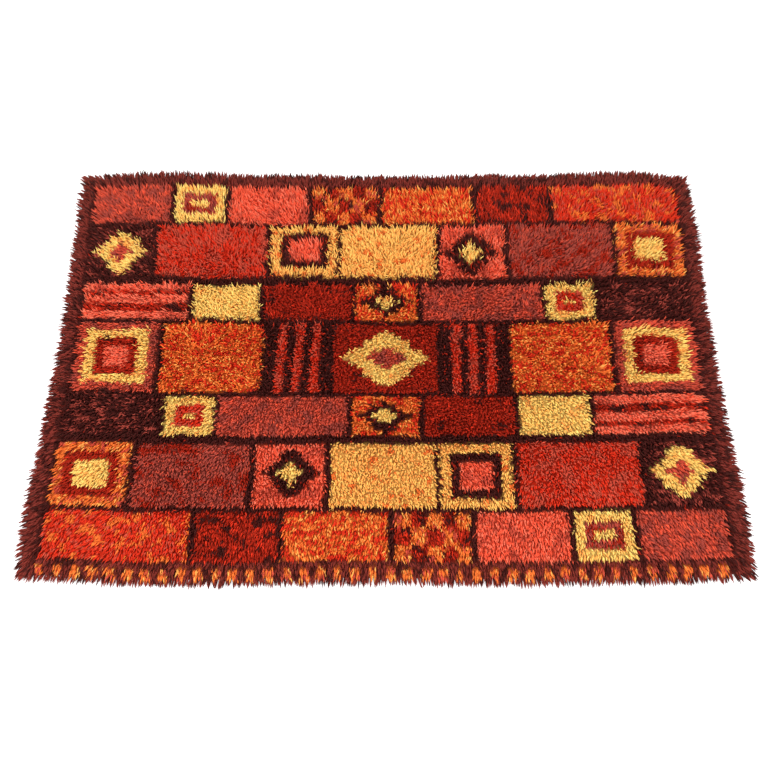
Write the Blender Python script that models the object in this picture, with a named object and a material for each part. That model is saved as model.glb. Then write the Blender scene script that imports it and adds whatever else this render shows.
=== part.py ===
"""A rya rug lying flat: one woven ground with a long knotted pile, as one lumpy slab with locks at its rim.

Metres, +Z up. The origin is at the middle of the rug's underside. +X runs along the rug's
long side, and the near long side, towards which the pile lies, is at -Y.
"""

import math
import random

import bmesh
import bpy
from mathutils import Vector, noise

# Driving dimensions
WIDTH = 2.00  # over the tips of the pile, along X
DEPTH = 1.40  # over the tips of the pile, along Y
PILE_TOP = 0.028  # mean height of the hollows between the pile's tufts above the floor
RIM_TOP = 0.017  # height at which the locks leave the slab at its rim
LOCK_REACH = 0.035  # how far the rim's locks lie out beyond the woven ground

# The slab that the woven ground carries
GROUND_WIDTH = WIDTH - 2 * LOCK_REACH
GROUND_DEPTH = DEPTH - 2 * LOCK_REACH
SHOULDER = 0.020  # width of the band over which the pile rounds down to its rim
SHOULDER_DROP = 0.004  # how far the inner edge of that band lies below the pile's top
COLUMNS = 42  # cells of the slab's top along X
ROWS = 29  # cells of the slab's top along Y

# How far each side of the ground lies out from its straight line, in metres. The share runs
# from left to right on the far and near sides, and from far to near on the left and right.
FAR_SIDE = (
    # share, offset
    (0.00, -0.012),
    (0.12, -0.001),
    (0.32, -0.011),
    (0.52, -0.014),
    (0.72, -0.008),
    (0.91, 0.002),
    (1.00, -0.012),
)
NEAR_SIDE = (
    # share, offset
    (0.00, -0.016),
    (0.20, 0.000),
    (0.45, -0.005),
    (0.62, -0.002),
    (0.85, -0.007),
    (1.00, -0.016),
)
LEFT_SIDE = (
    # share, offset
    (0.00, -0.001),
    (0.26, -0.009),
    (0.46, -0.017),
    (0.70, -0.008),
    (0.92, 0.001),
    (1.00, -0.003),
)
RIGHT_SIDE = (
    # share, offset
    (0.00, -0.006),
    (0.10, -0.001),
    (0.42, -0.014),
    (0.66, -0.010),
    (0.94, 0.000),
    (1.00, -0.002),
)

# The soft swells and hollows in which the rug lies, each along a straight line on the floor.
SWELLS = (
    # start x, start y, end x, end y, half width, rise
    (-0.86, 0.07, -0.10, 0.02, 0.055, 0.0040),
    (-0.10, 0.03, 0.90, 0.08, 0.050, 0.0035),
    (-0.30, 0.62, 0.55, 0.60, 0.060, 0.0035),
    (0.62, 0.50, 0.86, -0.30, 0.070, 0.0030),
    (-0.90, -0.52, 0.92, -0.50, 0.030, -0.0030),
    (0.02, 0.60, 0.03, 0.05, 0.025, -0.0025),
    (-0.60, 0.40, -0.20, 0.24, 0.080, 0.0025),
    (0.15, -0.20, 0.52, -0.34, 0.080, 0.0025),
)
# Lumps where tufts stand together: their size across, and how far they rise and fall.
LUMPS = (
    # size, rise
    (0.150, 0.0032),
    (0.062, 0.0028),
)

# The tufts that stand out of the top, one in each cell
TUFT_RISE = 0.005  # mean height of a tuft over the hollows round it
TUFT_LOWEST = 0.4  # share of that height of the lowest tuft
TUFT_HIGHEST = 1.6
TUFT_SHIFT = 0.007  # how far a hollow may lie from its place in the grid
TUFT_SEED = 4

# The locks at the rim, as shares of each lock's own length and root
LOCK_BEND = 0.55  # share of the lock at which it bends down to the floor
LOCK_MIDDLE_WIDTH = 0.56
LOCK_MIDDLE_HEIGHT = 0.52
LOCK_TIP_WIDTH = 0.14
LOCK_TIP_HEIGHT = 0.12
LOCK_SHORTEST = 0.58  # share of the reach of the shortest lock
LOCK_LONGEST = 1.25
LOCK_SWAY = 0.26  # how far a lock leans along the rim, as a share of its length
LOCK_SPREAD = 0.30  # how far the locks near a corner turn towards it
SWAY_PATCH = 0.070  # size of the patches of rim whose locks sway one way, in metres
LENGTH_PATCH = 0.024  # size of the patches of rim whose locks are of one length
LENGTH_START = Vector((7, 3, 5))  # where the noise of the lengths starts, away from that of the sway

PILE_COLOUR = (0.42, 0.06, 0.03, 1.0)
PILE_ROUGHNESS = 0.95


def clear_scene():
    for old in list(bpy.data.objects):
        bpy.data.objects.remove(old)


def smooth(share):
    return share * share * (3 - 2 * share)


def offset_along(side, share):
    """How far a side lies out from its straight line at this share of its length."""
    for (before, low), (after, high) in zip(side, side[1:]):
        if share <= after:
            return low + (high - low) * smooth((share - before) / (after - before))
    return side[-1][1]


def place_on_floor(across, along):
    """The point of the ground at these shares: across from left to right, along from far to near."""
    left = -GROUND_WIDTH / 2 - offset_along(LEFT_SIDE, along)
    right = GROUND_WIDTH / 2 + offset_along(RIGHT_SIDE, along)
    far = GROUND_DEPTH / 2 + offset_along(FAR_SIDE, across)
    near = -GROUND_DEPTH / 2 - offset_along(NEAR_SIDE, across)
    return Vector((left + (right - left) * across, far + (near - far) * along, 0))


def swell_at(point):
    """The rise of the rug's soft swells and hollows at a point."""
    rise = 0.0
    for start_x, start_y, end_x, end_y, half_width, height in SWELLS:
        start = Vector((start_x, start_y, 0))
        run = Vector((end_x, end_y, 0)) - start
        share = (point - start).dot(run) / run.length_squared
        nearest = start + run * min(max(share, 0), 1)
        rise += height * math.exp(-(((point - nearest).length / half_width) ** 2))
    return rise


def lumps_at(point):
    """The rise of the lumps, where the pile's tufts stand together."""
    return sum(rise * noise.noise(point / size) * 2 for size, rise in LUMPS)


def pile_height(point):
    return PILE_TOP + swell_at(point) + lumps_at(point)


def rim_edges(mesh):
    return [edge for edge in mesh.edges if edge.is_boundary]


def share_of_side(step, cells, length):
    """A grid line's share of its side: even cells, with a narrow band before and after them."""
    band = SHOULDER / length
    return min(max(band + (1 - 2 * band) * (step - 1) / cells, 0), 1)


def lay_out_top(mesh):
    """The slab's top, as a grid whose outer ring is the narrow band at the rim."""
    bmesh.ops.create_grid(mesh, x_segments=COLUMNS + 2, y_segments=ROWS + 2, size=0.5)
    shift = random.Random(TUFT_SEED)
    for vertex in mesh.verts:
        column = (0.5 + vertex.co.x) * (COLUMNS + 2)
        row = (0.5 - vertex.co.y) * (ROWS + 2)
        across = share_of_side(column, COLUMNS, GROUND_WIDTH)
        along = share_of_side(row, ROWS, GROUND_DEPTH)
        vertex.co = place_on_floor(across, along)
        if 1.5 < column < COLUMNS + 0.5 and 1.5 < row < ROWS + 0.5:
            vertex.co.x += shift.uniform(-TUFT_SHIFT, TUFT_SHIFT)
            vertex.co.y += shift.uniform(-TUFT_SHIFT, TUFT_SHIFT)
    for vertex in mesh.verts:
        vertex.co.z = pile_height(vertex.co)


def raise_tufts(mesh):
    """Gives each cell inside the band a tuft, which stands out of the hollows round it."""
    rise = random.Random(TUFT_SEED)
    inside = [face for face in mesh.faces if not any(corner.is_boundary for corner in face.verts)]
    for tuft in bmesh.ops.poke(mesh, faces=inside)["verts"]:
        tuft.co.z += TUFT_RISE * rise.uniform(TUFT_LOWEST, TUFT_HIGHEST)


def round_down_rim(mesh):
    """Halves the rim's edges apart from the short ones at its corners, and rounds the band down."""
    long_edges = [edge for edge in rim_edges(mesh) if edge.calc_length() > SHOULDER * 1.5]
    bmesh.ops.subdivide_edges(mesh, edges=long_edges, cuts=1)
    rim = {vertex for edge in rim_edges(mesh) for vertex in edge.verts}
    band = {other for vertex in rim for edge in vertex.link_edges for other in edge.verts}
    for vertex in band - rim:
        vertex.co.z -= SHOULDER_DROP
    for vertex in rim:
        vertex.co.z = RIM_TOP + (vertex.co.z - PILE_TOP) / 2


def drop_walls(mesh):
    """Takes the rim straight down to the floor, closes the underside and returns the walls."""
    made = bmesh.ops.extrude_edge_only(mesh, edges=rim_edges(mesh))["geom"]
    walls = [item for item in made if isinstance(item, bmesh.types.BMFace)]
    for item in made:
        if isinstance(item, bmesh.types.BMVert):
            item.co.z = 0
    bmesh.ops.contextual_create(mesh, geom=rim_edges(mesh))
    bmesh.ops.recalc_face_normals(mesh, faces=mesh.faces[:])
    return walls


def outward_of(wall, middle):
    """The way in which a lock leaves its wall: straight out, turned towards a near corner."""
    straight = Vector((wall.normal.x, wall.normal.y, 0)).normalized()
    from_middle = Vector((middle.x / GROUND_WIDTH, middle.y / GROUND_DEPTH, 0)) * 2
    along_rim = Vector((-straight.y, straight.x, 0))
    turn = along_rim.dot(from_middle)
    sway = noise.noise(middle / SWAY_PATCH) * 2 * LOCK_SWAY
    return (straight + along_rim * (LOCK_SPREAD * turn**3 + sway)).normalized()


def lock_length(middle):
    """A lock's own length, from short to long round the rim."""
    share = min(max(0.5 + noise.noise(middle / LENGTH_PATCH + LENGTH_START), 0), 1)
    return LOCK_REACH * (LOCK_SHORTEST + (LOCK_LONGEST - LOCK_SHORTEST) * share)


def shape_ring(face, foot, along_rim, width, height):
    """Sets the four corners of a lock's ring, which stands on the floor, round its foot."""
    middle = face.calc_center_median()
    for corner in face.verts:
        side = 1 if (corner.co - middle).dot(along_rim) > 0 else -1
        top = corner.co.z > middle.z
        spot = foot + along_rim * side * width / 2
        spot.x = min(max(spot.x, -WIDTH / 2), WIDTH / 2)
        spot.y = min(max(spot.y, -DEPTH / 2), DEPTH / 2)
        spot.z = height if top else 0
        corner.co = spot


def drawn_out(mesh, face):
    """The face that one step of a lock's drawing out ends in."""
    return bmesh.ops.extrude_discrete_faces(mesh, faces=[face])["faces"][0]


def grow_lock(mesh, wall):
    """Draws one wall of the rim out into a tapered lock, which lies level on the floor."""
    middle = wall.calc_center_median()
    middle.z = 0
    run = outward_of(wall, middle) * lock_length(middle)
    along_rim = Vector((-wall.normal.y, wall.normal.x, 0)).normalized()
    width = max(edge.calc_length() for edge in wall.edges)
    height = max(corner.co.z for corner in wall.verts)
    ring = drawn_out(mesh, wall)
    foot = middle + run * LOCK_BEND
    shape_ring(ring, foot, along_rim, width * LOCK_MIDDLE_WIDTH, height * LOCK_MIDDLE_HEIGHT)
    tip = drawn_out(mesh, ring)
    shape_ring(tip, middle + run, along_rim, width * LOCK_TIP_WIDTH, height * LOCK_TIP_HEIGHT)


def pile_material():
    material = bpy.data.materials.new("pile_wool")
    material.use_nodes = True
    shader = material.node_tree.nodes["Principled BSDF"]
    shader.inputs["Base Color"].default_value = PILE_COLOUR
    shader.inputs["Roughness"].default_value = PILE_ROUGHNESS
    shader.inputs["Metallic"].default_value = 0.0
    return material


def make_rug(collection):
    """The woven ground and its pile, which are one piece of cloth."""
    mesh = bmesh.new()
    lay_out_top(mesh)
    raise_tufts(mesh)
    round_down_rim(mesh)
    for wall in drop_walls(mesh):
        grow_lock(mesh, wall)
    bmesh.ops.recalc_face_normals(mesh, faces=mesh.faces[:])
    data = bpy.data.meshes.new("rug")
    mesh.to_mesh(data)
    mesh.free()
    data.shade_smooth()
    data.materials.append(pile_material())
    collection.objects.link(bpy.data.objects.new("rug", data))


def main():
    clear_scene()
    collection = bpy.data.collections.new("rya_rug")
    bpy.context.scene.collection.children.link(collection)
    make_rug(collection)


main()
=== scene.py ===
"""The looks of a rya rug that lies flat: a woven ground with a long wool pile knotted into it.

Metres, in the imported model's frame: +Z up, the rug's long side along X, and its near side at -Y.
Every strand of the pile is a shape of its own. It takes its colour from its knot's place in the
rug's chart, and its lean from the way in which the pile lies there.
"""

import math

import bmesh
import bpy
import numpy as np
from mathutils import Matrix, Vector, noise
from mathutils.bvhtree import BVHTree


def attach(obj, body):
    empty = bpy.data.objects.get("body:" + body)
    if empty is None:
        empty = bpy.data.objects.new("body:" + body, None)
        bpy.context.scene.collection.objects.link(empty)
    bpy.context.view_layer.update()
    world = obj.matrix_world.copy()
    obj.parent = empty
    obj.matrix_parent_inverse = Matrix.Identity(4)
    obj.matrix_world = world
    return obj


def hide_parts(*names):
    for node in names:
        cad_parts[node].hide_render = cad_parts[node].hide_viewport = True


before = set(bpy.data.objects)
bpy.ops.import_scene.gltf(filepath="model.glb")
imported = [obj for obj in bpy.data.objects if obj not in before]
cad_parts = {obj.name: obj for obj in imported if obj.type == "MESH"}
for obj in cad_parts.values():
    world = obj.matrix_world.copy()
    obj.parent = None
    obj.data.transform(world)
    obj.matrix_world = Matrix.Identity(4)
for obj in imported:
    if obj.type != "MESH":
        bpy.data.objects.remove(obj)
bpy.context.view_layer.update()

# The woven ground
GROUND_WIDTH = 1.93  # along X
GROUND_DEPTH = 1.33  # along Y
GROUND_THICKNESS = 0.0032
GROUND_INSET = 0.006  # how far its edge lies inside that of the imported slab
GROUND_COLUMNS = 96
GROUND_ROWS = 66

# How far each side of the ground lies out from its straight line, in metres. The share runs
# from left to right on the far and near sides, and from far to near on the left and right.
FAR_SIDE = (
    # share, offset
    (0.00, -0.012),
    (0.12, -0.001),
    (0.32, -0.011),
    (0.52, -0.014),
    (0.72, -0.008),
    (0.91, 0.002),
    (1.00, -0.012),
)
NEAR_SIDE = (
    # share, offset
    (0.00, -0.016),
    (0.20, 0.000),
    (0.45, -0.005),
    (0.62, -0.002),
    (0.85, -0.007),
    (1.00, -0.016),
)
LEFT_SIDE = (
    # share, offset
    (0.00, -0.001),
    (0.26, -0.009),
    (0.46, -0.017),
    (0.70, -0.008),
    (0.92, 0.001),
    (1.00, -0.003),
)
RIGHT_SIDE = (
    # share, offset
    (0.00, -0.006),
    (0.10, -0.001),
    (0.42, -0.014),
    (0.66, -0.010),
    (0.94, 0.000),
    (1.00, -0.002),
)

# The knots and their strands
KNOT_ROWS = 99
KNOTS_IN_ROW = 226
PILE_STRIPS = 12  # pieces that the pile is made in, each of some whole rows
KNOT_MARGIN = 0.009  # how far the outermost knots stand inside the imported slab's edge
CROWDED_BAND = 0.070  # width of the band at the rim in which the knots stand closer together
CROWDING = 1.30  # how much closer: 1 would leave them even
STRAND_STEPS = ((-1, -1), (1, -1), (-1, 1), (1, 1))  # where a knot's strands stand round its middle
ROOT_STRAY = 0.42  # how far each root strays from there, as a share of that step
ROOT_HEIGHT = 0.0018  # height of the strands' roots, inside the ground
STRAND_LENGTH = 0.038
STRAND_LENGTH_SPREAD = 0.09  # standard deviation of the length, as a share of it
SHORTEST_AND_LONGEST = (0.80, 1.14)
STRAND_RADIUS = 0.0027
THINNEST_AND_THICKEST = (0.85, 1.15)
STRAND_SEED = 11
STRAND_RINGS = (0.0, 0.62, 1.0)  # shares of the length: root, the ring at its bend and tip
STRAND_GIRTHS = (0.80, 1.0, 0.0)  # share of the full radius at each of them
STRAND_SIDES = 3
PILE_REACH = 0.0352  # height of an average strand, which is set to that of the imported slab

# The way in which the pile lies
NOISE_SEED = 7  # without it the vector noise would be another one on each run
PARTING_Y = 0.30  # the pile parts here, far and near of the rug's middle
LEAN_OUT = (0.26, 0.44)  # how much more it leans at the rug's ends and long sides, along X and Y
RIM_BAND = 0.040  # width of the band at the rim in which the pile falls outwards
RIM_LEAN = 0.60
FAR_RIM_LEAN = 0.22  # the same at the far side, where the pile stands more upright
TUFT_SIZE = 0.026  # size of the patches in which strands lean together
TUFT_LEAN = 0.22
TUFT_START = (3, 8, 1)  # where in the noise the tufts start, so that they don't follow the drifts
DRIFT_SIZE = 0.150  # size of the wide patches in which the pile drifts one way
DRIFT_LEAN = 0.24
DRIFT_START = (9, 2, 4)
MOST_LEAN = 1.15
STRAND_STRAY = 0.09  # how far each strand strays from its neighbours
LOCK_PITCH = 0.0125  # spacing of the points over which strands draw together into locks
LOCK_JITTER = 0.38  # how far those points stray, as a share of their spacing
LOCK_PULL = 0.62  # how much of the way to that point a strand's tip is drawn
LOCK_SEED = 5
SPARE_CELLS = 3  # cells of that grid past each side of the ground
LUMP_SIZE = 0.034  # size of the lumps in which all strands are longer or shorter
LUMP_LENGTH = 0.13
LUMP_START = (5, 5, 2)
BED_SHARE = 0.38  # the share of the strands' length at which the bed of the pile closes
ROOT_TILT = (0.06, 0.42)  # tilt of a strand at its root with no lean, and what full lean adds
TIP_TILT = (0.36, 1.22)  # the same at its tip, in radians
LOWEST = 0.0012  # lowest height of a strand's surface over the floor
CELL_MARGIN = 0.06  # margin round a strand in its cell of the bake map
ROOT_FACE_DEPTH = 0.10  # how far below its sides a strand's root face lies in that cell

# The camera, as the photograph's perspective gives it
CAMERA_PLACE = (-0.004, -1.483, 2.643)
CAMERA_PITCH = math.radians(62.13)  # below the horizon
CAMERA_YAW = math.radians(0.03)
CAMERA_LENS = 48.44  # mm, on a sensor 36 mm wide

# The stage
FLOOR_REACH = 12.0
FLOOR_DROP = -0.0004
FLOOR_GREY = (0.86, 0.86, 0.86, 1)
WORLD_STRENGTH = 1.50
LAMP_SIZE = 2.4
KEY_PLACE = (-2.2, -1.2, 3.6)
KEY_POWER = 65
FILL_PLACE = (2.6, -1.8, 3.0)
FILL_POWER = 35
FLOOR_GLOW = 0.45  # keeps the floor pure white round the rug, as in the photograph

# The finishes, with the painted shade and light in them
TWISTS = 5.0  # turns of the two plies in one strand
ROOT_PAINTED_SHADE = 0.86  # painted shade: how bright a strand is made at its root, deep in the pile where shade falls
TIP_PAINTED_LIGHT = 1.06  # painted light: how bright it is made at its tip, where light falls on the top of the pile
FIBRE_SCALE = 900  # scale of the noise for single fibres
MAT_SCALE = 260  # and of the noise for crossing strands and mixed ground yarns
WARP_PITCH = 0.0052
WEFT_PITCH = 0.0038
GROUND_DARK = (0.070, 0.014, 0.010, 1)
GROUND_LIGHT = (0.155, 0.030, 0.018, 1)
GROUND_KNOTS = (0.30, 0.055, 0.026, 1)


def smooth(share):
    """A share from 0 to 1, eased at both ends."""
    return share * share * (3 - 2 * share)


def offset_along(side, share):
    """How far a side lies out from its straight line, at each share of its length."""
    stops, offsets = np.array(side).T
    step = np.clip(np.searchsorted(stops, share, side="right") - 1, 0, len(stops) - 2)
    within = smooth((share - stops[step]) / (stops[step + 1] - stops[step]))
    return offsets[step] + (offsets[step + 1] - offsets[step]) * within


def place_on_ground(across, along, inset):
    """The places at these shares: across from left to right, along from far to near."""
    left = -GROUND_WIDTH / 2 - offset_along(LEFT_SIDE, along) + inset
    right = GROUND_WIDTH / 2 + offset_along(RIGHT_SIDE, along) - inset
    far = GROUND_DEPTH / 2 + offset_along(FAR_SIDE, across) - inset
    near = -GROUND_DEPTH / 2 - offset_along(NEAR_SIDE, across) + inset
    return left + (right - left) * across, far + (near - far) * along


# The yarns, as the wool's own colour before light and shade
YARNS = {
    "straw": (0.92, 0.64, 0.170),
    "gold": (0.93, 0.51, 0.120),
    "amber": (0.93, 0.39, 0.085),
    "orange": (0.80, 0.165, 0.028),
    "rose": (0.84, 0.160, 0.088),
    "coral": (0.82, 0.098, 0.044),
    "ember": (0.56, 0.070, 0.038),
    "red": (0.66, 0.030, 0.009),
    "brick": (0.36, 0.056, 0.038),
    "oxblood": (0.36, 0.0160, 0.0050),
    "maroon": (0.055, 0.0075, 0.0060),
    "plum": (0.195, 0.026, 0.018),
}

# The mixes that the fields are knotted in: the main yarn, a second one that falls strand by
# strand, and a third one that falls in ragged patches of the given size.
MIXES = {
    # main, second, its share, third, its share, patch size
    "gold": ("straw", "gold", 0.50, "amber", 0.12, 0.030),
    "honey": ("gold", "amber", 0.40, "orange", 0.12, 0.026),
    "orange": ("orange", "amber", 0.34, "ember", 0.24, 0.022),
    "flame": ("orange", "amber", 0.30, "red", 0.42, 0.018),
    "coral": ("coral", "rose", 0.40, "ember", 0.24, 0.040),
    "rose": ("rose", "coral", 0.40, "ember", 0.12, 0.040),
    "ember": ("ember", "coral", 0.30, "brick", 0.36, 0.030),
    "red": ("red", "ember", 0.42, "ember", 0.26, 0.040),
    "brick": ("brick", "ember", 0.34, "oxblood", 0.30, 0.034),
    "rust": ("red", "ember", 0.34, "orange", 0.26, 0.030),
    "wine": ("oxblood", "red", 0.34, "maroon", 0.24, 0.030),
    "oxblood": ("oxblood", "red", 0.22, "maroon", 0.08, 0.040),
    "maroon": ("maroon", "oxblood", 0.24, "maroon", 0.0, 0.040),
    "rim": ("plum", "maroon", 0.30, "maroon", 0.20, 0.022),
    "bark": ("maroon", "plum", 0.34, "brick", 0.20, 0.026),
    "line": ("maroon", "oxblood", 0.10, "maroon", 0.0, 0.040),
}

# The chart: bands of blocks from the far side to the middle. The near half is the far half
# turned half round. Each block has its width, its motif and its mixes.
BANDS = (
    (
        0.155,
        (
            (0.25, "plain", "ember"),
            (0.17, "frames", "gold", "brick", "gold"),
            (0.26, "plain", "coral"),
            (0.22, "chequer", "orange", "wine"),
            (0.30, "plain", "flame"),
            (0.24, "plain", "wine"),
            (0.40, "plain", "rust"),
        ),
    ),
    (
        0.205,
        (
            (0.21, "diamond", "bark", "gold", "ember"),
            (0.35, "plain", "red"),
            (0.22, "frames", "honey", "maroon", "coral"),
            (0.30, "plain", "honey"),
            (0.21, "diamond", "coral", "maroon", "gold"),
            (0.33, "plain", "brick"),
            (0.22, "frames", "orange", "oxblood", "gold"),
        ),
    ),
    (
        0.140,
        (
            (0.33, "level_bars", "rose", "wine"),
            (0.22, "plain", "gold"),
            (0.27, "plain", "oxblood"),
            (0.20, "diamond", "flame", "maroon", "gold"),
            (0.38, "plain", "ember"),
            (0.16, "frames", "gold", "red", "gold"),
            (0.28, "plain", "bark"),
        ),
    ),
    (
        0.240,
        (
            (0.25, "frames", "ember", "gold", "oxblood", "rose"),
            (0.31, "plain", "flame"),
            (0.20, "upright_bars", "maroon", "red"),
            (0.32, "diamond", "oxblood", "gold", "ember"),
            (0.20, "upright_bars", "maroon", "red"),
            (0.31, "plain", "flame"),
            (0.25, "frames", "ember", "gold", "oxblood", "rose"),
        ),
    ),
)
FIELD_WIDTH = 1.84  # the blocks' widths add up to this, along X
LINE = 0.0082  # half the width of the dark lines between blocks
FRAME_STEP = 0.027
BAR_STEP = 0.036
CHEQUER_STEP = 0.042
DIAMOND_STEP = 0.016
MARK_ROW = (0.006, 0.034)  # how far outside the field the border's row of marks lies
MARK_STEP = 0.046
HEATHER_SIZE = 0.011  # size of the small flecks in which a mix's second yarn falls
HEATHER_CHANCE = 0.6  # how much of that is pure chance, strand by strand
NOISE_SPREAD = 2.6  # how far noise values are spread out towards 0 and 1
SHADE_SPREAD = 0.08  # standard deviation of single strands' brightness
DARKEST_YARN = 0.002
RAGGED = 0.35  # how far single strands of a patch stray over its edge


def frames(from_left, from_top, width, height, mixes):
    """Square frames, one inside another."""
    inward = min(from_left, from_top, width - from_left, height - from_top)
    return mixes[min(int(inward / FRAME_STEP), len(mixes) - 1)]


def diamond(from_left, from_top, width, height, mixes):
    """A stepped diamond with a stepped heart."""
    right = abs(from_left - width / 2)
    up = round(abs(from_top - height / 2) / DIAMOND_STEP) * DIAMOND_STEP
    reach = right / (width / 2) + up / (height / 2)
    if reach > 0.86:
        return mixes[0]
    return mixes[1] if reach > 0.40 else mixes[2]


def chequer(from_left, from_top, width, height, mixes):
    """Even squares in two mixes."""
    columns = round(width / CHEQUER_STEP)
    rows = round(height / CHEQUER_STEP)
    column = int(from_left / width * columns)
    row = int(from_top / height * rows)
    return mixes[(column + row) % 2]


def upright_bars(from_left, from_top, width, height, mixes):
    """Bars along Y."""
    bars = 2 * round(width / BAR_STEP / 2) + 1
    return mixes[int(from_left / width * bars) % 2]


def level_bars(from_left, from_top, width, height, mixes):
    """Bars along X."""
    return upright_bars(from_top, from_left, height, width, mixes)


def plain(from_left, from_top, width, height, mixes):
    """One mix all over."""
    return mixes[0]


MOTIFS = {
    "plain": plain,
    "frames": frames,
    "diamond": diamond,
    "chequer": chequer,
    "upright_bars": upright_bars,
    "level_bars": level_bars,
}


def block_at(right, down):
    """The mix in the far half of the field, at this far from its far left corner."""
    for height, blocks in BANDS:
        if down < height:
            break
        down -= height
    for width, motif, *mixes in blocks:
        if right < width:
            break
        right -= width
    if min(right, down, width - right, height - down) < LINE:
        return "line"
    return MOTIFS[motif](
        right - LINE, down - LINE, width - 2 * LINE, height - 2 * LINE, mixes
    )


def border_at(along_rim, outward):
    """The mix in the border: a dark band with an even row of small marks in it."""
    in_row = MARK_ROW[0] < outward < MARK_ROW[1]
    return "orange" if in_row and along_rim % MARK_STEP < MARK_STEP / 2 else "rim"


def mix_at(across, along):
    """The mix that the chart gives at these shares of the ground."""
    field_depth = 2 * sum(height for height, _ in BANDS) - BANDS[-1][0]
    side = (GROUND_WIDTH - FIELD_WIDTH) / 2
    end = (GROUND_DEPTH - field_depth) / 2
    right = across * GROUND_WIDTH - side
    down = along * GROUND_DEPTH - end
    out_x = max(-right, right - FIELD_WIDTH)
    out_y = max(-down, down - field_depth)
    if out_x > 0:
        return "rim"
    if out_y > 0:
        return border_at(right, out_y) if down > 0 else "rim"
    if down > field_depth / 2:
        right, down = FIELD_WIDTH - right, field_depth - down
    return block_at(right, down)


def yarn_of(mix, place, chance):
    """The yarn of one strand. The chance is its own, from 0 to 1."""
    main, second, second_share, third, third_share, size = MIXES[mix]
    later_digits = chance % 0.1 * 10  # as good as another chance, from 0 to 1
    if evened(noise.noise(place / size) + RAGGED * (later_digits - 0.5)) < third_share:
        return third
    fleck = evened(noise.noise(place / HEATHER_SIZE))
    heather = HEATHER_CHANCE * chance + (1 - HEATHER_CHANCE) * fleck
    return second if heather < second_share else main


def evened(value):
    """A noise value spread evenly from 0 to 1."""
    return 0.5 + 0.5 * math.tanh(NOISE_SPREAD * value)


def crowded(share, length):
    """The shares of a length, with those near its two ends drawn closer to them."""
    distance = np.minimum(share, 1 - share) * length
    drawn = CROWDED_BAND * (distance / CROWDED_BAND) ** CROWDING
    moved = np.where(distance < CROWDED_BAND, drawn, distance) / length
    return np.where(share < 0.5, moved, 1 - moved)


class Knots:
    """Every knot: its shares of the ground, its place and the height of the pile round it."""

    def __init__(self):
        noise.seed_set(NOISE_SEED)
        edge_x = KNOT_MARGIN / GROUND_WIDTH
        edge_y = KNOT_MARGIN / GROUND_DEPTH
        across, along = np.meshgrid(
            np.linspace(edge_x, 1 - edge_x, KNOTS_IN_ROW),
            np.linspace(edge_y, 1 - edge_y, KNOT_ROWS),
        )
        across[1::2] += 0.5 / KNOTS_IN_ROW * (1 - 2 * across[1::2])
        self.row = np.repeat(np.arange(KNOT_ROWS), KNOTS_IN_ROW)
        self.across = crowded(across.ravel(), GROUND_WIDTH)
        self.along = crowded(along.ravel(), GROUND_DEPTH)
        self.x, self.y = place_on_ground(self.across, self.along, 0)
        self.places = [Vector((x, y, 0)) for x, y in zip(self.x, self.y)]
        self.height = self.heights()
        self.lump = 1 + LUMP_LENGTH * self.noise(LUMP_SIZE, LUMP_START)[0]

    def heights(self):
        """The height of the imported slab's top over each knot."""
        mesh = bmesh.new()
        mesh.from_mesh(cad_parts["rug"].data)
        slab = BVHTree.FromBMesh(mesh)
        mesh.free()
        down, above = Vector((0, 0, -1)), Vector((0, 0, 1))
        hits = [slab.ray_cast(place + above, down)[0] for place in self.places]
        return np.array([hit.z for hit in hits])

    def noise(self, size, start):
        """Two even noises at each knot, for the two ways in which the pile may lean."""
        start = Vector(start)
        made = [noise.noise_vector(place / size + start)[:2] for place in self.places]
        return np.array(made).T


def pull_of_rim(distance):
    """How much the rim makes the pile fall outwards at this distance from it, from 0 to 1."""
    return np.exp(-((distance / RIM_BAND) ** 2))


def lean_of_pile(knots):
    """How far the pile leans along X and Y at each knot."""
    left, far = knots.across * GROUND_WIDTH, knots.along * GROUND_DEPTH
    lean_x = LEAN_OUT[0] * (knots.x / (GROUND_WIDTH / 2)) ** 3
    lean_y = LEAN_OUT[1] * (knots.y - PARTING_Y) / (GROUND_DEPTH / 2)
    rim_lean = FAR_RIM_LEAN + (RIM_LEAN - FAR_RIM_LEAN) * smooth(knots.along)
    lean_x += rim_lean * (pull_of_rim(GROUND_WIDTH - left) - pull_of_rim(left))
    lean_y += FAR_RIM_LEAN * pull_of_rim(far) - RIM_LEAN * pull_of_rim(GROUND_DEPTH - far)
    tuft_x, tuft_y = knots.noise(TUFT_SIZE, TUFT_START)
    drift_x, drift_y = knots.noise(DRIFT_SIZE, DRIFT_START)
    lean_x += TUFT_LEAN * tuft_x + DRIFT_LEAN * drift_x
    lean_y += TUFT_LEAN * tuft_y + DRIFT_LEAN * drift_y
    return lean_x, lean_y


def arc_of(lean, length, share):
    """How far out and up a strand has come at a share of its length, and its tilt there."""
    lean = np.clip(lean, 0, MOST_LEAN)
    start = ROOT_TILT[0] + ROOT_TILT[1] * lean
    end = TIP_TILT[0] + TIP_TILT[1] * lean
    tilt = start + (end - start) * share
    radius = length / (end - start)
    return (np.cos(start) - np.cos(tilt)) * radius, (np.sin(tilt) - np.sin(start)) * radius, tilt


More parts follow.
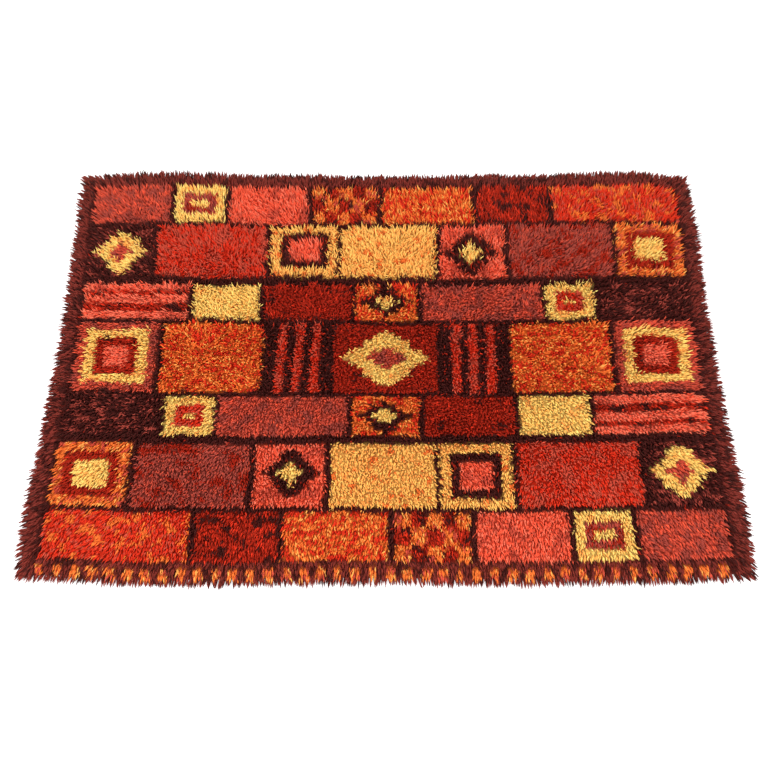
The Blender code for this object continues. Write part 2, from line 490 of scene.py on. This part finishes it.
class Locks:
    """The points over which strands draw together: one, a little astray, in each cell of a grid."""

    def __init__(self):
        chance = np.random.default_rng(LOCK_SEED)
        self.columns = math.ceil(GROUND_WIDTH / LOCK_PITCH) + 2 * SPARE_CELLS
        self.rows = math.ceil(GROUND_DEPTH / LOCK_PITCH) + 2 * SPARE_CELLS
        self.stray = chance.uniform(-LOCK_JITTER, LOCK_JITTER, (self.columns, self.rows, 2))

    def nearest(self, places):
        """The nearest point to each of these places along X and Y."""
        cells = places / LOCK_PITCH + np.array([self.columns, self.rows]) / 2
        home = np.floor(cells).astype(int)
        best, shortest = np.zeros_like(cells), np.full(len(cells), np.inf)
        for step_x in (-1, 0, 1):
            for step_y in (-1, 0, 1):
                cell = home + np.array([step_x, step_y])
                point = cell + 0.5 + self.stray[cell[:, 0], cell[:, 1]]
                distance = np.hypot(*(point - cells).T)
                nearer = distance < shortest
                best[nearer], shortest[nearer] = point[nearer], distance[nearer]
        return (best - np.array([self.columns, self.rows]) / 2) * LOCK_PITCH


def strand_shape():
    """One strand: its corners as share of girth, girth and length, and its faces."""
    mesh = bmesh.new()
    bmesh.ops.create_cone(
        mesh, cap_ends=True, segments=STRAND_SIDES, radius1=1, radius2=1, depth=1
    )
    bmesh.ops.translate(mesh, verts=mesh.verts, vec=(0, 0, 0.5))
    for share in STRAND_RINGS[1:-1]:
        whole = mesh.verts[:] + mesh.edges[:] + mesh.faces[:]
        bmesh.ops.bisect_plane(mesh, geom=whole, plane_co=(0, 0, share), plane_no=(0, 0, 1))
    tip = [vertex for vertex in mesh.verts if vertex.co.z > 0.99]
    bmesh.ops.pointmerge(mesh, verts=tip, merge_co=(0, 0, 1))
    bmesh.ops.recalc_face_normals(mesh, faces=mesh.faces[:])
    mesh.verts.index_update()
    corners = np.array([vertex.co for vertex in mesh.verts])
    faces = [[corner.index for corner in face.verts] for face in mesh.faces]
    mesh.free()
    return corners, faces


class Strands:
    """The middle lines, girths and colours of all the strands of some knots."""

    def __init__(self, knots, locks, lean, chosen, chance):
        strands_in_knot = len(STRAND_STEPS)
        self.count = len(chosen) * strands_in_knot
        knot = np.repeat(chosen, strands_in_knot)
        stray = chance.normal(0, STRAND_STRAY, (2, self.count))
        lean_x = lean[0][knot] + stray[0]
        lean_y = lean[1][knot] + stray[1]
        self.lean = np.hypot(lean_x, lean_y) + 1e-6
        self.forward = np.stack([lean_x / self.lean, lean_y / self.lean, 0 * lean_x], 1)
        self.side = np.stack([-self.forward[:, 1], self.forward[:, 0], 0 * lean_x], 1)
        steps = np.tile(STRAND_STEPS, (len(chosen), 1))
        steps = steps + ROOT_STRAY * 2 * chance.uniform(-1, 1, (self.count, 2))
        spacing = np.array([GROUND_WIDTH / KNOTS_IN_ROW, GROUND_DEPTH / KNOT_ROWS])
        roots = np.stack([knots.x[knot], knots.y[knot]], 1) + steps * spacing / 4
        self.root = np.column_stack([roots, np.full(self.count, ROOT_HEIGHT)])
        drawn = (locks.nearest(roots) - roots) * LOCK_PULL
        self.draw = np.column_stack([drawn, np.zeros(self.count)])
        self.rise = knots.height[knot] / PILE_REACH
        share = np.clip(chance.normal(1, STRAND_LENGTH_SPREAD, self.count), *SHORTEST_AND_LONGEST)
        self.length = STRAND_LENGTH * share * knots.lump[knot]
        self.girth = STRAND_RADIUS * chance.uniform(*THINNEST_AND_THICKEST, self.count)
        self.turn = chance.uniform(0, math.tau, self.count)
        self.colour = self.colours(knots, knot, chance)

    def colours(self, knots, knot, chance):
        """Each strand's own colour: its yarn, a little lighter or darker than the next strand's."""
        chances = chance.uniform(0, 1, self.count)
        mixes = {one: mix_at(knots.across[one], knots.along[one]) for one in set(knot.tolist())}
        yarns = [
            YARNS[yarn_of(mixes[one], knots.places[one], own)]
            for one, own in zip(knot.tolist(), chances.tolist())
        ]
        shade = chance.normal(1, SHADE_SPREAD, (self.count, 1))
        return np.clip(np.array(yarns) * shade, DARKEST_YARN, 1)

    def bend(self, corners):
        """The corners of the strands' shape, bent along each strand's middle line."""
        share = corners[:, 2]
        girth = np.interp(share, STRAND_RINGS, STRAND_GIRTHS) * self.girth[:, None]
        out, up, tilt = arc_of(self.lean[:, None], self.length[:, None], share)
        up = up * self.rise[:, None]
        cos_turn, sin_turn = np.cos(self.turn)[:, None], np.sin(self.turn)[:, None]
        sideways = (corners[:, 0] * cos_turn - corners[:, 1] * sin_turn) * girth
        over = (corners[:, 0] * sin_turn + corners[:, 1] * cos_turn) * girth
        out = out - over * np.cos(tilt)
        up = up + over * np.sin(tilt)
        points = self.root[:, None, :] + out[:, :, None] * self.forward[:, None, :]
        points = points + sideways[:, :, None] * self.side[:, None, :]
        points = points + share[:, None] ** 2 * self.draw[:, None, :]
        points[:, :, 2] = np.maximum(points[:, :, 2] + up, LOWEST)
        return points


def dress(name, data, material):
    """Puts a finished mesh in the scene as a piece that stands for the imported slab."""
    data.materials.append(material)
    piece = bpy.data.objects.new(name, data)
    bpy.context.scene.collection.objects.link(piece)
    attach(piece, "root")
    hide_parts("rug")
    return piece


def unrolled(corners, faces):
    """Each face corner of a strand, unrolled flat: its turn round the strand and its height."""
    places = []
    for face in faces:
        turns = [math.atan2(corners[one][1], corners[one][0]) / math.tau for one in face]
        heights = [corners[one][2] for one in face]
        if max(heights) == 0:  # the root's own face, which goes below the sides
            depths = [-ROOT_FACE_DEPTH] + [0] * (len(turns) - 1)
            places += zip(sorted(turns), depths)
            continue
        ring = [turn for turn, height in zip(turns, heights) if height < 1]
        if max(ring) - min(ring) > 0.5:  # across the seam at the back
            turns = [turn % 1 for turn in turns]
            ring = [turn % 1 for turn in ring]
        middle = sum(ring) / len(ring)
        places += [(middle if height == 1 else turn, height) for turn, height in zip(turns, heights)]
    return np.array(places)


def bake_places(flat, count):
    """The strands' unrolled shape, set out in the cells of one square map."""
    cells = math.ceil(math.sqrt(count))
    order = np.arange(count)
    cell = np.stack([order % cells, order // cells], 1)
    low, high = flat.min(0), flat.max(0)
    inside = CELL_MARGIN + (1 - 2 * CELL_MARGIN) * (flat - low) / (high - low)
    return (cell[:, None, :] + inside) / cells


def add_strip(name, strands, corners, faces):
    """One piece of the pile: a joined mesh of its strands, with their colours and maps."""
    points = strands.bend(corners).reshape(-1, 3)
    starts = range(0, len(points), len(corners))
    sides = [[start + one for one in face] for start in starts for face in faces]
    data = bpy.data.meshes.new(name)
    data.from_pydata(points, [], sides)
    along = data.attributes.new("along", "FLOAT", "POINT")
    along.data.foreach_set("value", np.tile(corners[:, 2], strands.count))
    yarn = data.attributes.new("yarn", "FLOAT_COLOR", "POINT")
    colours = np.ones((strands.count, len(corners), 4))
    colours[:, :, :3] = strands.colour[:, None, :]
    yarn.data.foreach_set("color", colours.ravel())
    flat = unrolled(corners, faces)
    twist = flat[None, :, :] + strands.turn[:, None, None] * np.array([1, 0])
    data.uv_layers.new(name="Twist").data.foreach_set("uv", twist.ravel())
    places = bake_places(flat, strands.count)
    data.uv_layers.new(name="OFBake").data.foreach_set("uv", places.ravel())
    data.shade_smooth()
    return dress(name, data, pile_wool())


def add_bed(knots, lean):
    """The closed lower part of the pile: a soft sheet through the strands' middles."""
    size = np.hypot(*lean) + 1e-6
    out, up, _ = arc_of(size, STRAND_LENGTH, BED_SHARE)
    x = knots.x + out * lean[0] / size
    y = knots.y + out * lean[1] / size
    z = ROOT_HEIGHT + up * knots.height / PILE_REACH
    mesh = bmesh.new()
    yarn = mesh.verts.layers.float_color.new("yarn")
    uv = mesh.loops.layers.uv.new("OFBake")
    bmesh.ops.create_grid(mesh, x_segments=KNOTS_IN_ROW - 1, y_segments=KNOT_ROWS - 1, size=1)
    order = sorted(mesh.verts, key=lambda vertex: (-round(vertex.co.y, 5), vertex.co.x))
    for number, vertex in enumerate(order):
        for loop in vertex.link_loops:
            loop[uv].uv = (vertex.co.x / 2 + 0.5, vertex.co.y / 2 + 0.5)
        vertex.co = (x[number], y[number], z[number])
        mix = mix_at(knots.across[number], knots.along[number])
        vertex[yarn] = (*YARNS[yarn_of(mix, knots.places[number], 1.0)], 1)
    data = bpy.data.meshes.new("pile_bed")
    mesh.to_mesh(data)
    mesh.free()
    data.shade_smooth()
    return dress("pile_bed", data, bed_wool())


class Value:
    """A shader socket that takes part in plain sums. Each sum adds its Math node."""

    def __init__(self, nodes, socket):
        self.nodes, self.socket = nodes, socket

    def math(self, operation, *others):
        return self.nodes.add("ShaderNodeMath", {"operation": operation}, [self, *others])

    def __add__(self, other):
        return self.math("ADD", other)

    def __sub__(self, other):
        return self.math("SUBTRACT", other)

    def __mul__(self, other):
        return self.math("MULTIPLY", other)

    def __rsub__(self, other):
        return self.math("MULTIPLY", -1) + other

    __radd__ = __add__
    __rmul__ = __mul__

    def wave(self):
        """A sine of this value in turns, from 0 to 1."""
        return (self * math.tau).math("SINE") * 0.5 + 0.5

    def between(self, low, high):
        """From 0 at the low value to 1 at the high one."""
        return self.nodes.add(
            "ShaderNodeMapRange", {"clamp": True}, {"Value": self, "From Min": low, "From Max": high}
        )


class Nodes:
    """The nodes of one material."""

    def __init__(self, name):
        self.material = bpy.data.materials.new(name)
        self.material.use_nodes = True
        self.tree = self.material.node_tree
        self.shader = self.tree.nodes["Principled BSDF"]

    def add(self, kind, settings=None, inputs=(), output=0):
        """Adds a node: its settings first, then the values or links of its sockets."""
        node = self.tree.nodes.new(kind)
        for name, setting in (settings or {}).items():
            setattr(node, name, setting)
        pairs = inputs.items() if isinstance(inputs, dict) else enumerate(inputs)
        for name, given in pairs:
            self.put(node.inputs[name], given)
        return Value(self, node.outputs[output])

    def put(self, socket, given):
        """Links a value to a socket, or sets the socket to a constant."""
        if isinstance(given, Value):
            self.tree.links.new(given.socket, socket)
        else:
            socket.default_value = given

    def finish(self, **sockets):
        """Sets the shader's sockets, with underscores for the spaces in their names."""
        for name, given in sockets.items():
            self.put(self.shader.inputs[name.replace("_", " ")], given)
        return self.material

    def noise(self, place, scale, detail=2.0):
        return self.add(
            "ShaderNodeTexNoise", {}, {"Vector": place, "Scale": scale, "Detail": detail}
        )

    def bump(self, height, strength, distance):
        return self.add(
            "ShaderNodeBump", {}, {"Height": height, "Strength": strength, "Distance": distance}
        )

    def scaled(self, colour, factor):
        return self.add("ShaderNodeVectorMath", {"operation": "SCALE"}, {0: colour, "Scale": factor})

    def mixed(self, factor, first, second):
        return self.add(
            "ShaderNodeMix", {"data_type": "RGBA"}, {0: factor, 6: first, 7: second}, output=2
        )


def pile_wool():
    """Dyed rug wool: two plies twisted together, with fine fibres and a dull bloom."""
    made = bpy.data.materials.get("pile_wool_yarn")
    if made:
        return made
    nodes = Nodes("pile_wool_yarn")
    yarn = nodes.add("ShaderNodeAttribute", {"attribute_name": "yarn"})
    along = nodes.add("ShaderNodeAttribute", {"attribute_name": "along"}, output="Fac")
    unrolled_place = nodes.add("ShaderNodeUVMap", {"uv_map": "Twist"})
    split = {"Vector": unrolled_place}
    turn = nodes.add("ShaderNodeSeparateXYZ", {}, split, output="X")
    height = nodes.add("ShaderNodeSeparateXYZ", {}, split, output="Y")
    place = nodes.add("ShaderNodeTexCoord", output="Object")
    plies = (turn * 2 + height * TWISTS).wave()
    fibres = nodes.noise(place, FIBRE_SCALE, 3)
    # Painted shade and light: each strand is darker at its root and lighter at its tip, as the pile
    # is shaded low down and lit at the top
    shade = ROOT_PAINTED_SHADE + (TIP_PAINTED_LIGHT - ROOT_PAINTED_SHADE) * along.between(0.15, 0.95)
    # The fibres add a random tone; the plies add painted shade, darker in the grooves between them
    shade = shade * (0.86 + 0.20 * fibres + 0.06 * plies)
    relief = plies * 0.7 + fibres * 0.3
    return nodes.finish(
        Base_Color=nodes.scaled(yarn, shade),
        Roughness=0.78 + 0.16 * fibres,
        Normal=nodes.bump(relief, 0.45, 0.0007),
        Sheen_Weight=0.06,
        Sheen_Roughness=0.5,
        Sheen_Tint=(1.0, 0.55, 0.40, 1),
        Specular_IOR_Level=0.08,
    )


def bed_wool():
    """The same wool low in the pile, as a mat of crossing strands, darkened with painted shade deep
    in the pile.
    """
    nodes = Nodes("pile_wool_bed")
    yarn = nodes.add("ShaderNodeAttribute", {"attribute_name": "yarn"})
    place = nodes.add("ShaderNodeTexCoord", output="Object")
    fibres = nodes.noise(place, MAT_SCALE, 3)
    return nodes.finish(
        # Painted shade: the yarn's colour is scaled down to 0.3 to 0.9 of itself for the shade deep
        # in the pile, with a random tone from the fibres
        Base_Color=nodes.scaled(yarn, 0.30 + 0.60 * fibres),
        Roughness=0.80 + 0.15 * fibres,
        Normal=nodes.bump(fibres, 0.8, 0.003),
        Specular_IOR_Level=0.05,
    )


def ground_weave():
    """The woven ground of dark wool, with a ridge on its back under each row of knots."""
    nodes = Nodes("ground_weave")
    place = nodes.add("ShaderNodeTexCoord", output="Object")
    split = {"Vector": place}
    right = nodes.add("ShaderNodeSeparateXYZ", {}, split, output="X")
    far = nodes.add("ShaderNodeSeparateXYZ", {}, split, output="Y")
    warp = (right * (1 / WARP_PITCH)).wave()
    weft = (far * (1 / WEFT_PITCH)).wave()
    over = (warp - 0.5) * (weft - 0.5) * 2 + 0.5
    rows_in_metre = (KNOT_ROWS - 1) / (GROUND_DEPTH - 2 * KNOT_MARGIN)
    knots_in_metre = (KNOTS_IN_ROW - 1) / (GROUND_WIDTH - 2 * KNOT_MARGIN)
    row = (far * rows_in_metre).wave().between(0.80, 1.0)
    loop = (right * knots_in_metre).wave().between(0.15, 0.65)
    ridge = row * loop
    heather = nodes.noise(place, MAT_SCALE, 3)
    colour = nodes.mixed(heather.between(0.35, 0.70), GROUND_DARK, GROUND_LIGHT)
    colour = nodes.mixed(ridge * 0.6, colour, GROUND_KNOTS)
    # Painted shade: the weave is made darker where its threads dip under, in the hollows that its
    # bump makes
    return nodes.finish(
        Base_Color=nodes.scaled(colour, 0.75 + 0.5 * over),
        Roughness=0.84 + 0.10 * heather,
        Normal=nodes.bump(over + ridge * 1.5, 0.6, 0.0008),
        Sheen_Weight=0.15,
        Specular_IOR_Level=0.25,
    )


def add_ground():
    """The woven ground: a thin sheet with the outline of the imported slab, flat on the floor."""
    mesh = bmesh.new()
    bmesh.ops.create_grid(mesh, x_segments=GROUND_COLUMNS, y_segments=GROUND_ROWS, size=0.5)
    shares = np.array([(vertex.co.x + 0.5, 0.5 - vertex.co.y) for vertex in mesh.verts])
    spots = place_on_ground(shares[:, 0], shares[:, 1], GROUND_INSET)
    for vertex, x, y in zip(mesh.verts, *spots):
        vertex.co = (x, y, GROUND_THICKNESS)
    rim = [edge for edge in mesh.edges if edge.is_boundary]
    made = bmesh.ops.extrude_edge_only(mesh, edges=rim)["geom"]
    for item in made:
        if isinstance(item, bmesh.types.BMVert):
            item.co.z = 0
    rim = [edge for edge in mesh.edges if edge.is_boundary]
    bmesh.ops.contextual_create(mesh, geom=rim)
    bmesh.ops.recalc_face_normals(mesh, faces=mesh.faces[:])
    data = bpy.data.meshes.new("woven_ground")
    mesh.to_mesh(data)
    mesh.free()
    data.shade_smooth()
    data.set_sharp_from_angle(angle=math.radians(40))
    return dress("woven_ground", data, ground_weave())


def add_pile():
    """The whole pile, in strips of some rows of knots each."""
    knots = Knots()
    locks = Locks()
    lean = lean_of_pile(knots)
    corners, faces = strand_shape()
    chance = np.random.default_rng(STRAND_SEED)
    strips = [add_bed(knots, lean)]
    for number, rows in enumerate(np.array_split(np.arange(KNOT_ROWS), PILE_STRIPS), 1):
        chosen = np.flatnonzero((knots.row >= rows[0]) & (knots.row <= rows[-1]))
        strands = Strands(knots, locks, lean, chosen, chance)
        strips.append(add_strip(f"pile_strip_{number}", strands, corners, faces))
    return strips


def add_floor():
    """The plain pale floor, which runs out of the view on all sides."""
    mesh = bmesh.new()
    bmesh.ops.create_grid(mesh, x_segments=1, y_segments=1, size=FLOOR_REACH)
    data = bpy.data.meshes.new("floor")
    mesh.to_mesh(data)
    mesh.free()
    nodes = Nodes("pale_floor")
    material = nodes.finish(
        Base_Color=FLOOR_GREY,
        Roughness=0.9,
        Specular_IOR_Level=0.0,
        Emission_Color=(1, 1, 1, 1),
        Emission_Strength=FLOOR_GLOW,
    )
    data.materials.append(material)
    floor = bpy.data.objects.new("floor", data)
    floor.location.z = FLOOR_DROP
    bpy.context.scene.collection.objects.link(floor)


def add_light(name, place, power):
    """A soft square lamp, aimed at the middle of the rug."""
    lamp = bpy.data.lights.new(name, "AREA")
    lamp.size = LAMP_SIZE
    lamp.energy = power
    light = bpy.data.objects.new(name, lamp)
    light.location = place
    light.rotation_euler = (-Vector(place)).to_track_quat("-Z", "Y").to_euler()
    bpy.context.scene.collection.objects.link(light)


def light_scene():
    """Even white light from all round, with two soft lamps above the near side."""
    world = bpy.data.worlds.new("studio")
    world.use_nodes = True
    world.node_tree.nodes["Background"].inputs["Color"].default_value = (1, 1, 1, 1)
    world.node_tree.nodes["Background"].inputs["Strength"].default_value = WORLD_STRENGTH
    bpy.context.scene.world = world
    add_light("key", KEY_PLACE, KEY_POWER)
    add_light("fill", FILL_PLACE, FILL_POWER)
    bpy.context.scene.view_settings.view_transform = "Standard"


def add_camera():
    """The camera, where the photograph was taken from."""
    camera = bpy.data.cameras.new("camera")
    camera.lens = CAMERA_LENS
    camera.sensor_width = 36
    eye = bpy.data.objects.new("camera", camera)
    eye.location = CAMERA_PLACE
    eye.rotation_euler = (math.pi / 2 - CAMERA_PITCH, 0, CAMERA_YAW)
    bpy.context.scene.collection.objects.link(eye)
    bpy.context.scene.camera = eye


add_camera()
light_scene()
add_floor()
ground = add_ground()
pile = add_pile()
